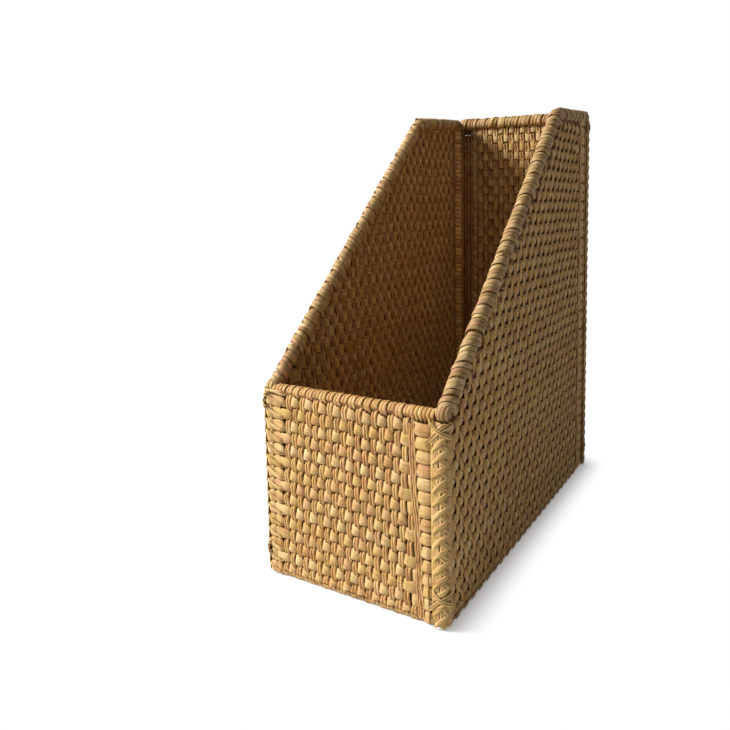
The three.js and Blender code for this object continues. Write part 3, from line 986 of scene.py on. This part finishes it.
def weave_base():
    """The base panel: rows across the basket's depth and warps across its width."""
    wefts, warps = Bundle(peel_section), Bundle(strand_section)
    (x0, y0, _), (x1, y1, _) = box_mm("base_panel")
    xs = base_marks(x0, x1, base_row_inset, weft_pitch)
    ys = base_marks(y0, y1, base_warp_inset, warp_pitch)
    for j, x in enumerate(xs):
        knots = [(y, base_z + (weft_rise if (i + j) % 2 else -weft_rise)) for i, y in enumerate(ys)]
        y, z = eased([(y0, base_z)] + knots[1:-1] + [(y1, base_z)], base_weft_step)
        line = np.stack([x + wave(y, size=weft_wander, length=60), y, z], axis=-1)
        # Painted shade, with some dust, where a row dives under a warp
        depth = np.clip((base_z + weft_rise - z) / (2 * weft_rise), 0, 1)
        wefts.add(line, UP, weft_width, weft_thickness, rng.random(), depth)
    for i, y in enumerate(ys):
        knots = [(x, base_z + (-warp_rise if (i + j) % 2 else warp_rise)) for j, x in enumerate(xs)]
        x, z = eased([(x0, base_z)] + knots + [(x1, base_z)], warp_step)
        # Painted shade, with some dust, where a warp dives under a row
        depth = np.clip((base_z + warp_rise - z) / (2 * warp_rise), 0, 1)
        for sign in (-1, 1):
            y_line = y + sign * (Weave.strand_width / 2 + 0.03) + wave(x, size=0.12, length=30)
            line = np.stack([x, y_line, z], axis=-1)
            warps.add(line, UP, Weave.strand_width, warp_thickness, rng.random(), depth)
    wefts.piece("base_wefts", finishes["weft"], "woven_wall", "base_panel")
    warps.piece("base_warps", finishes["warp"], "woven_wall", "base_panel")


# Wound rims: bands of three strands, then thin stitches into the wall and a knob at each end

rim_bend_radius = 18
band_pitch = 10.0
top_pitch_share = 0.8
band_gap = 1.0
band_strands = 3
band_thickness = 1.05
# How much painted shade darkens a band strand's two edges
band_edge_shade = 0.8
band_lean = 0.75
band_seam = math.radians(250)
band_overlap = 0.06
band_shares = (0.86, 1.14)
strand_shares = (0.75, 1.25)
band_radius = side_rim_radius + skin_gap + band_thickness / 2
stitch_leans = (-1, 0.1, 1)
stitch_reach = (3.4, 5.6)
stitch_spread = (1.9, -1.7)
stitch_slack = 0.92
stitch_n = [3.0, 4.3, 4.2, 2.2]
knob_strips = 4
knob_radius = roll_radius - 0.4
knob_setback = 1.2
front_knob_lift = 1.6
front_knob_tilt = 0.18


class RimPath:
    """A side rim's axis from the front corner up the slope, round the bend and along the top."""

    def __init__(self, mirror):
        self.flip = np.array([-1 if mirror else 1, 1, 1])
        marks = np.array([(front_y, front_rim_z), (bend_y, bend_z), (back_y, top_z)])
        slope, top = marks[1] - marks[0], marks[2] - marks[1]
        self.start = marks[0]
        self.slope_rise = math.atan2(slope[1], slope[0])
        self.top_rise = math.atan2(top[1], top[0])
        turn = self.slope_rise - self.top_rise
        cut = rim_bend_radius * math.tan(turn / 2)
        self.straight = float(np.linalg.norm(slope)) - cut
        self.bend = rim_bend_radius * turn
        self.length = self.straight + self.bend + float(np.linalg.norm(top)) - cut

    def at(self, s):
        """The axis at lengths s: y and z of its centre, and the angle that it rises at."""
        rise = self.slope_rise - np.clip(s - self.straight, 0, self.bend) / rim_bend_radius
        before = np.minimum(s, self.straight)
        after = np.maximum(s - self.straight - self.bend, 0)
        y = self.start[0] + before * math.cos(self.slope_rise) + after * math.cos(self.top_rise)
        z = self.start[1] + before * math.sin(self.slope_rise) + after * math.sin(self.top_rise)
        y = y + rim_bend_radius * (math.sin(self.slope_rise) - np.sin(rise))
        z = z + rim_bend_radius * (np.cos(rise) - math.cos(self.slope_rise))
        return y, z, rise

    def point(self, s, angle, radius):
        """A point beside the axis: angle 0 faces outside the basket and a quarter turn faces up."""
        y, z, rise = self.at(s)
        cos, sin = np.cos(angle), np.sin(angle)
        out = np.stack([cos, -sin * np.sin(rise), sin * np.cos(rise)], axis=-1)
        centre = np.stack([np.full_like(y, side_x), y, z], axis=-1)
        return (centre + radius[:, None] * out) * self.flip, out * self.flip


def back_rim_point(s, angle, radius):
    """A point beside the back rim's axis, as RimPath.point gives it for a side rim."""
    low, high = box_mm("back_rim_winding")
    out = np.stack([np.zeros_like(angle), np.cos(angle), np.sin(angle)], axis=-1)
    centre = np.stack([s, np.full_like(s, back_y), np.full_like(s, (low[2] + high[2]) / 2)], axis=-1)
    return centre + radius[:, None] * out, out


def wind_bands(bundle, point, s0, s1, pitch):
    """Bands of strands side by side, wound from s0 to s1 round a pole given by its point function."""
    shares = rng.uniform(*band_shares, round((s1 - s0) / pitch))
    marks = s0 + (s1 - s0) * np.concatenate([[0], np.cumsum(shares)]) / shares.sum()
    steps = int(2 * math.pi * band_radius / 1.3) + 6
    part = np.linspace(-band_overlap, 1 + band_overlap, steps)
    angle = band_seam - 2 * math.pi * part
    for start, end in zip(marks[:-1], marks[1:]):
        widths = rng.uniform(*strand_shares, band_strands)
        widths = widths / widths.sum() * (end - start - band_gap)
        edge = start + band_gap / 2
        bow = 0.3 * rng.standard_normal()
        turn = band_lean + 0.12 * rng.standard_normal()
        for k, width in enumerate(widths):
            s = edge + width / 2 + turn * (end - start) * (part - 0.5) + bow * np.cos(2 * math.pi * part)
            s = np.clip(s + wave(part * 30 + k, size=0.15, length=30), s0 + width / 2, s1 - width / 2)
            edge += width
            crown = 0.2 * rng.standard_normal()
            lift = crown - end_dip(part, depth=0.55, start=0.86) + wave(part * 30, size=0.1, length=30)
            line, out = point(s, angle, band_radius + lift)
            bundle.add(line, out, width * 1.04, band_thickness, rng.random())


def wind_side_rims():
    for side in ("right", "left"):
        path = RimPath(side == "left")
        slope, top = Bundle(peel_section, band_edge_shade), Bundle(peel_section, band_edge_shade)
        wind_bands(slope, path.point, 1.0, path.straight, band_pitch)
        wind_bands(top, path.point, path.straight + 0.3, path.length + 1, band_pitch * top_pitch_share)
        slope.piece(f"{side}_slope_bands", finishes["rim"], "peel", f"{side}_slope_winding")
        top.piece(f"{side}_top_bands", finishes["rim"], "peel", f"{side}_top_winding")
        add_stitches(side, path)
        add_knob(side, "front", path, 0.0, -1)
        add_knob(side, "back", path, path.length, 1)


def wind_back_rim():
    low, high = box_mm("back_rim_winding")
    bundle = Bundle(peel_section)
    wind_bands(bundle, back_rim_point, low[0], high[0], band_pitch)
    bundle.piece("back_rim_bands", finishes["rim"], "peel", "back_rim_winding")


def add_stitches(side, path):
    """Thin strands that pass from under each band into the wall below the rim."""
    bundle = Bundle(strand_section)
    turns = round(path.straight / band_pitch)
    pitch = (path.straight - 1) / turns
    part = np.linspace(0, 1, 9)
    for turn in range(turns + 5):
        for lean in stitch_leans:
            reach = (roll_radius + 0.1 + rng.uniform(*stitch_reach) * part) * stitch_slack
            spread = np.interp(part, [0, 1], stitch_spread)
            s = 1 + pitch * (turn + 1) + lean * spread + 0.3 * rng.standard_normal()
            y, z, rise = path.at(s)
            n = np.interp(part, [0, 0.25, 0.75, 1], stitch_n)
            line = np.stack([side_x + n, y + reach * np.sin(rise), z - reach * np.cos(rise)], axis=-1)
            outward = np.array([1.0, 0, 0]) * path.flip
            bundle.add(line * path.flip, outward, width=1.1, thickness=0.8, shade=rng.random())
    bundle.piece(f"{side}_rim_stitches", finishes["stitch"], "peel")


def add_knob(side, end, path, s_end, sign):
    """Strips folded over the end of a rim pole, so that it ends in a rounded knob."""
    bundle = Bundle(peel_section)
    x_axis = np.array([1.0, 0, 0])
    y, z, rise = path.at(s_end)
    centre = np.array([side_x, y, z])
    forward = sign * np.array([0, math.cos(rise), math.sin(rise)])
    if end == "front":
        forward = unit(np.array([0, -1, front_knob_tilt]))
        centre = centre + front_knob_lift * UP
    up = sign * unit(np.cross(x_axis, forward))
    centre = centre - forward * knob_setback
    strip_width = 2 * knob_radius / knob_strips
    angle = np.linspace(-1.9, 1.9, 19)
    ahead = np.cos(angle)[:, None] * forward + np.sin(angle)[:, None] * up
    for k in range(knob_strips):
        off = (k - (knob_strips - 1) / 2) * strip_width * 0.94
        ring = math.sqrt(max(knob_radius ** 2 - off ** 2, 1.0))
        bulge = ring + 0.15 * rng.standard_normal()
        beside = ahead * bulge + (off + 0.25 * np.sin(angle))[:, None] * x_axis
        line = (centre + beside) * path.flip
        bundle.add(line, unit(beside) * path.flip, strip_width * 1.05, 1.1, rng.random())
    bundle.piece(f"{end}_{side}_rim_knob", finishes["rim"], "peel")


# Laced corners

lacing_thickness = 0.8
pale_lacing = [0.08, 0.25, 0.58]
arc_width = 1.9
arc_drop = 9.5
arc_start = 2.2
arc_end = 2.0
arc_bend = 1.9
arc_pair_gap = 1.7
arc_high = 5.5
arc_parts = [0, 0.12, 0.3, 0.6, 0.85, 1]
braid_width = 1.8
braid_reach = 3.2
braid_middle = 0.3
upright_places = (-2.2, -0.8, 0.8, 2.2)
upright_width = 1.7
sleeve_pitch = 2.2
sleeve_width = 2.4
sleeve_thickness = 0.5
wrap_thickness = 0.6
foot_turns = (-50, -25, 0, 25, 50)
foot_inset = 1.5
tie_width = 1.25
tie_thickness = 0.9
tie_pair_gap = 1.5
tie_lift = 2.2

# A tie's arms: how far round the corner and how high each starts and ends, from the tie's middle
tie_arms = [((-8.9, 6.0), (2.7, -3.0)), ((-11.8, -7.8), (3.0, 6.2))]


def add_arcs(corner, bundle, rows):
    """Over each row beside the corner, a pair of thin strands that falls from the edge to a warp."""
    part = np.linspace(0, 1, 28)
    curve = 1 - (1 - part) ** arc_bend
    start = -corner.quarter - arc_start
    for j in range(len(rows) + 1):
        z = first_weft_z + weft_pitch * j
        t = start + (corner.quarter + warps_at(corner.after, z)[0] - arc_end - start) * part
        for k in (0, 1):
            apart = (k - 0.5) * arc_pair_gap * (1 - 0.6 * curve)
            height = z + weft_pitch * 0.95 - arc_drop * curve + apart + 0.3 * rng.standard_normal()
            r = np.interp(part, arc_parts, [
                post_radius + 0.9, post_radius + 1.25 + 0.3 * k, wall_outer + 0.7, wall_outer + 0.4,
                wall_outer + 0.2, wall_middle])
            height = np.minimum(height, rows[-1] + arc_high)
            line = corner.point(t - (k - 0.5) * 0.9 * (1 - part), height, r)
            bundle.add(line, corner.outward(t), arc_width, lacing_thickness, rng.choice(pale_lacing))


def pointed_wave(phase):
    """A wave with straight sides and rounded points, between -1 and 1."""
    return np.arcsin(0.97 * np.sin(phase)) / math.asin(0.97)


def add_braid(corner, bundle, rows):
    """Two pairs of thin strands that cross over the corner's edge once to a row, and four straight up."""
    z = np.arange(rows[0] - 3, rows[-1] + 2, 0.8)
    middle = -corner.quarter - braid_middle
    low = post_radius + skin_gap + corner_weft_thickness + lacing_thickness / 2
    for k in (0, 1):
        phase = math.pi * (z - first_weft_z) / weft_pitch + math.pi * k
        for twin in (-0.5, 0.5):
            t = middle + braid_reach * pointed_wave(phase) + twin * 0.6 + wave(z, size=0.3, length=13)
            line = corner.point(t, z + twin * 1.5, low + 0.25 + 0.3 * np.cos(phase))
            bundle.add(line, corner.outward(t), braid_width, lacing_thickness, rng.choice(pale_lacing))
    for place in upright_places:
        t = middle + place + wave(z, size=0.3, length=21)
        line = corner.point(t, z, low - 0.05 + wave(z, size=0.1, length=9))
        bundle.add(line, corner.outward(t), upright_width, lacing_thickness, rng.choice(pale_lacing))


def add_sleeve(corner, bundle, rows):
    """Flat strips that run up the post under the rows, so that no gap between the rows is deep."""
    z = np.linspace(rows[0] - 3, rows[-1] + 3, 20)
    for place in np.arange(-corner.quarter - post_lead, corner.quarter + 3, sleeve_pitch):
        t = np.full(len(z), place)
        line = corner.point(t, z, post_radius + 0.25)
        # The strips are darkened a little with painted shade
        bundle.add(line, corner.outward(t), sleeve_width, sleeve_thickness, rng.choice(pale_lacing), 0.2)


def add_inner_wraps(corner, bundle, rows):
    """Peel round the inner side of the post, two turns to a row."""
    angle = np.radians(np.linspace(-160, 160, 21))
    out = -np.cos(angle)[:, None] * corner.middle + np.sin(angle)[:, None] * corner.side
    beside = out * (post_radius + skin_gap + wrap_thickness / 2)
    for row in rows:
        for k in (0, 1):
            z = row + (k - 0.5) * weft_pitch / 2 + 0.4 * np.sin(angle)
            line = corner.after.start + beside + z[:, None] * UP
            bundle.add(line, out, weft_pitch / 2 * 0.97, wrap_thickness, rng.random())


def add_foot(corner, bundle):
    """Strips folded under the corner, where the post bends into the base."""
    turn = np.radians(np.linspace(20, -115, 14))
    for angle in np.radians(foot_turns):
        out = math.cos(angle) * corner.middle + math.sin(angle) * corner.side
        r = post_radius + 0.4 + 0.2 * rng.standard_normal()
        reach = -foot_inset + (r + foot_inset) * np.cos(turn)
        height = base_z + 0.6 + r * np.sin(turn)
        line = corner.after.start + reach[:, None] * out + height[:, None] * UP
        facing = np.cos(turn)[:, None] * out + np.sin(turn)[:, None] * UP
        bundle.add(line, facing, width=3.0, thickness=1.2, shade=rng.random())


def add_tie(name, corner, end):
    """Two pairs of strands that cross over the corner."""
    low, high = box_mm(f"{name}_{end}_tie")
    middle = (low[2] + high[2]) / 2 + (2 if end == "top" else 0)
    size = 1.0 if end == "top" else 0.8
    # The ties' edges are darkened fully with painted shade
    bundle = Bundle(strand_section, 1.0)
    part = np.linspace(0, 1, 25)
    for bow, ((t0, z0), (t1, z1)) in zip((0.35, -0.35), tie_arms):
        t = size * (t0 + (t1 - t0) * part)
        r = post_radius + tie_lift + bow * np.sin(math.pi * part) - end_dip(part, depth=2.4, start=0.85)
        for k in (-0.5, 0.5):
            z = middle + size * (z0 + (z1 - z0) * part) + k * tie_pair_gap
            bundle.add(corner.point(t, z, r), corner.outward(t), tie_width, tie_thickness, rng.random())
    bundle.piece(f"{name}_{end}_tie_strands", finishes["lacing"], "peel", f"{name}_{end}_tie")


def lace_corners():
    for name, corner in corners.items():
        bundle = Bundle(strand_section)
        top = front_rim_z if name.startswith("front") else top_z
        rows = [z for z in row_z if z < top - 3]
        if corner.after.name in ("front", "back"):
            add_arcs(corner, bundle, rows)
        add_sleeve(corner, bundle, rows)
        add_braid(corner, bundle, rows)
        add_inner_wraps(corner, bundle, rows)
        add_foot(corner, bundle)
        bundle.piece(f"{name}_lacing_strands", finishes["lacing"], "peel", f"{name}_corner_lacing")
        for end in ("top", "bottom"):
            add_tie(name, corner, end)


# Stage

def add_camera():
    data = bpy.data.cameras.new("camera")
    data.sensor_width = sensor_width
    data.lens = camera_focal_px / picture_px * sensor_width
    data.shift_x = (picture_px / 2 - camera_centre_px[0]) / picture_px
    data.shift_y = (camera_centre_px[1] - picture_px / 2) / picture_px
    data.clip_start, data.clip_end = camera_clip
    camera = add_object("camera", data)
    camera.location = np.array(camera_place) * MM
    camera.rotation_euler = [math.radians(a) for a in camera_turn]
    bpy.context.scene.camera = camera


def add_lamps():
    for name, (place, size, power) in lamps.items():
        data = bpy.data.lights.new(name, "AREA")
        data.shape = "DISK"
        data.size = size * MM
        data.energy = power
        lamp = add_object(name, data)
        lamp.location = np.array(place) * MM
        aim = np.array(lamp_aim) - np.array(place)
        lamp.rotation_euler = Vector(aim).to_track_quat("-Z", "Y").to_euler()


def seen_ray(tree):
    """1 for a ray from the camera, a reflection or through glass, so that each shows the background."""
    light_path = add_node(tree, "LightPath", {}).outputs
    seen = light_path["Is Camera Ray"]
    for name in ("Is Glossy Ray", "Is Transmission Ray"):
        seen = maths(tree, "MAXIMUM", seen, light_path[name])
    return seen


def add_floor():
    """A pale floor that keeps the basket's shadow near it and fades to plain white further off; near the
    basket its glow is also dimmed as a painted contact shadow.
    """
    me = bpy.data.meshes.new("floor")
    half = floor_size / 2 * MM
    places = [(-half, -half, 0), (half, -half, 0), (half, half, 0), (-half, half, 0)]
    me.from_pydata(places, [], [(0, 1, 2, 3)])
    floor = add_object("floor", me)
    material, tree, shader = new_material("pale_floor")
    shader.inputs["Base Color"].default_value = (floor_grey, floor_grey, floor_grey, 1)
    shader.inputs["Roughness"].default_value = 0.9
    shader.inputs["Specular IOR Level"].default_value = 0
    _, (x1, y1, _) = box_mm("base_panel")
    beside = add_node(tree, "TexCoord", {}).outputs["Object"]
    zero = (0, 0, 0)
    for operation, other in (("ABSOLUTE", zero), ("SUBTRACT", (x1 * MM, y1 * MM, 0)), ("MAXIMUM", zero)):
        beside = add_node(tree, "VectorMath", {0: beside, 1: other}, operation=operation).outputs[0]
    away = add_node(tree, "VectorMath", {0: beside}, operation="LENGTH").outputs["Value"]
    seen = seen_ray(tree)
    far = maths(tree, "MULTIPLY", mapped(tree, away, *floor_fade, 0, 1), seen)
    # Painted contact shadow: the floor's glow dims where the basket is close by
    closeness = add_node(tree, "AmbientOcclusion", {"Distance": contact_reach * MM}).outputs["AO"]
    soft = mapped(tree, closeness, 0.5, 1, contact_shade, 1)
    strength = maths(tree, "MULTIPLY", maths(tree, "MULTIPLY", seen, floor_glow), soft)
    glow = add_node(tree, "Emission", {"Strength": strength}).outputs[0]
    near = add_node(tree, "AddShader", {0: glow, 1: shader.outputs[0]}).outputs[0]
    white = add_node(tree, "Emission", {}).outputs[0]
    pick = add_node(tree, "MixShader", {0: far, 1: near, 2: white}).outputs[0]
    tree.links.new(pick, tree.nodes["Material Output"].inputs["Surface"])
    me.materials.append(material)


def add_world():
    """Soft even light, with plain white for the camera and in reflections."""
    world = bpy.data.worlds.new("world")
    bpy.context.scene.world = world
    world.use_nodes = True
    tree = world.node_tree
    soft = tree.nodes["Background"]
    soft.inputs["Color"].default_value = world_tint
    soft.inputs["Strength"].default_value = world_light
    white = add_node(tree, "Background", {"Color": (1, 1, 1, 1)}).outputs[0]
    pick = add_node(tree, "MixShader", {0: seen_ray(tree), 1: soft.outputs[0], 2: white}).outputs[0]
    tree.links.new(pick, tree.nodes["World Output"].inputs["Surface"])


def finish_poles():
    for name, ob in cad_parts.items():
        if name.endswith("_pole"):
            ob.data.materials.clear()
            ob.data.materials.append(finishes["pole"])


add_camera()
add_floor()
add_world()
add_lamps()
finish_poles()
weave_walls()
weave_base()
wind_side_rims()
wind_back_rim()
lace_corners()

bpy.context.scene.view_settings.view_transform = "Standard"
bpy.context.view_layer.update()
